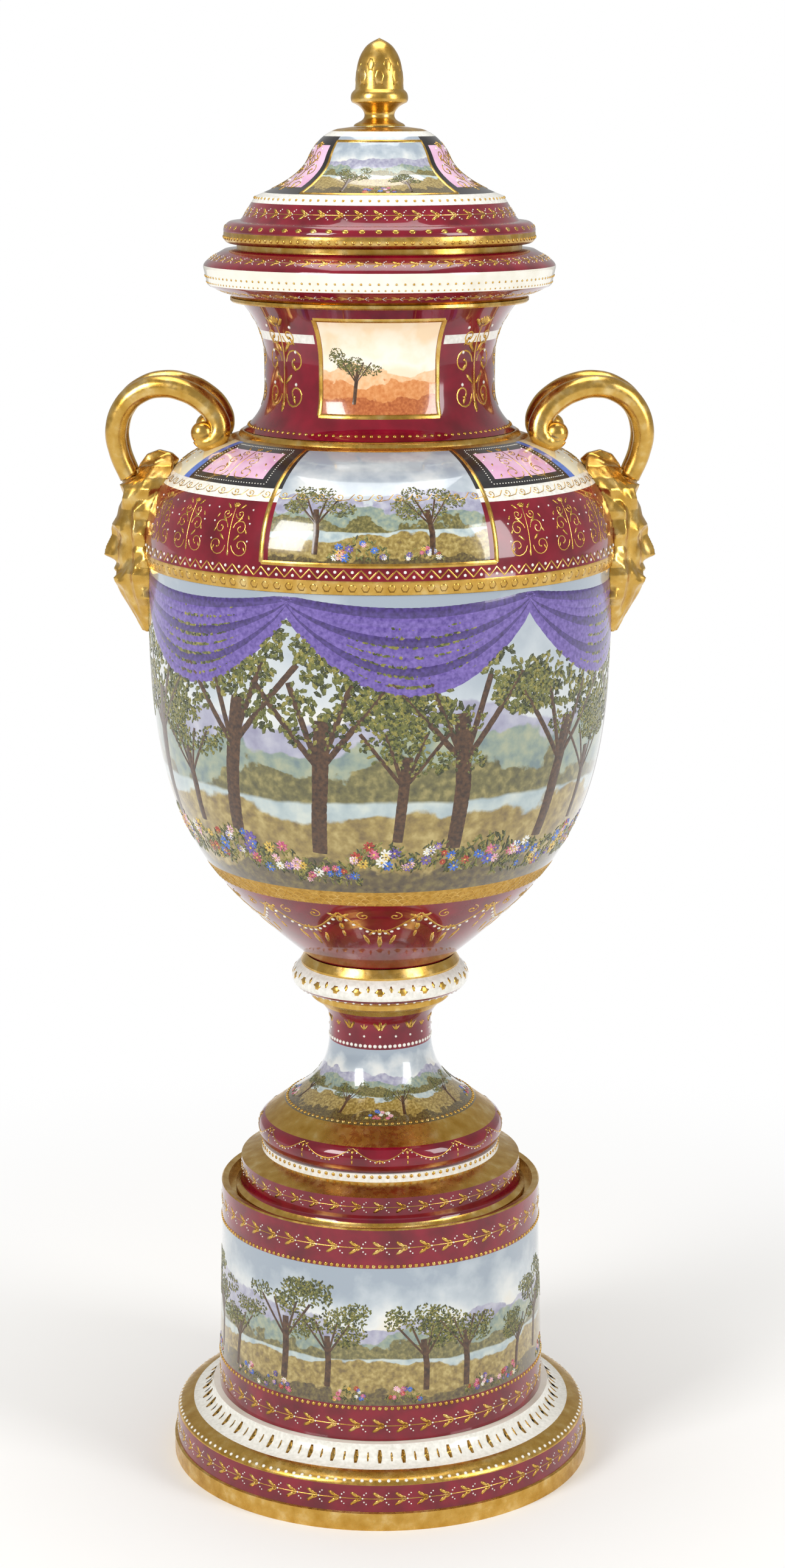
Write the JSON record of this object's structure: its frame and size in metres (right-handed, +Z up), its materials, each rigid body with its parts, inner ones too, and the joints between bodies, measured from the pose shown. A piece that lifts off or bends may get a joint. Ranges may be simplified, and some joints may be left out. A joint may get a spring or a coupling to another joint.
{
  "type": "lidded urn",
  "caption": "Lidded porcelain urn with paired scroll handles rising from masks, standing loose in the recess of its own round plinth.",
  "frame": {"origin": "centre of the plinth's rest face, on the surface the urn stands on", "axes": "+Z up along the axis of revolution; +X through the right-hand mask; the pictured side faces -Y"},
  "size_m": [0.365, 0.3116, 0.96],
  "materials": {
    "crimson_glaze": "crimson ground under a clear gloss glaze",
    "painted_glaze": "enamel painting under a clear gloss glaze",
    "ivory_glaze": "white porcelain with a clear gloss glaze",
    "gilding": "burnished gold fired on glazed porcelain",
    "iron": "plain, slightly rusted",
    "brass": "dull, tool-marked",
    "cork": "bare cork"
  },
  "bodies": {
    "plinth": {"plinth_base": "crimson_glaze", "plinth_drum": "painted_glaze"},
    "vase": {"foot_socle": "crimson_glaze", "foot_bell": "painted_glaze", "stem_collar": "ivory_glaze", "bowl": "painted_glaze", "shoulder": "painted_glaze", "neck": "painted_glaze", "neck_rim": "crimson_glaze", "handle_right_front": "gilding", "handle_right_rear": "gilding", "handle_left_front": "gilding", "handle_left_rear": "gilding", "mask_right": "gilding", "mask_left": "gilding", "tie_rod": "iron", "lower_cork_pad": "cork", "lower_washer": "iron", "lower_nut": "brass", "upper_cork_pad": "cork", "upper_washer": "iron", "upper_nut": "brass"},
    "lid": {"lid_shell": "painted_glaze", "finial_acorn": "gilding"}
  },
  "joints": [
    {"name": "vase_lift", "type": "slide", "parent": "plinth", "child": "vase", "axis": [0, 0, 1], "range_m": [0, 0.08]},
    {"name": "lid_lift", "type": "slide", "parent": "vase", "child": "lid", "axis": [0, 0, 1], "range_m": [0, 0.15]}
  ]
}
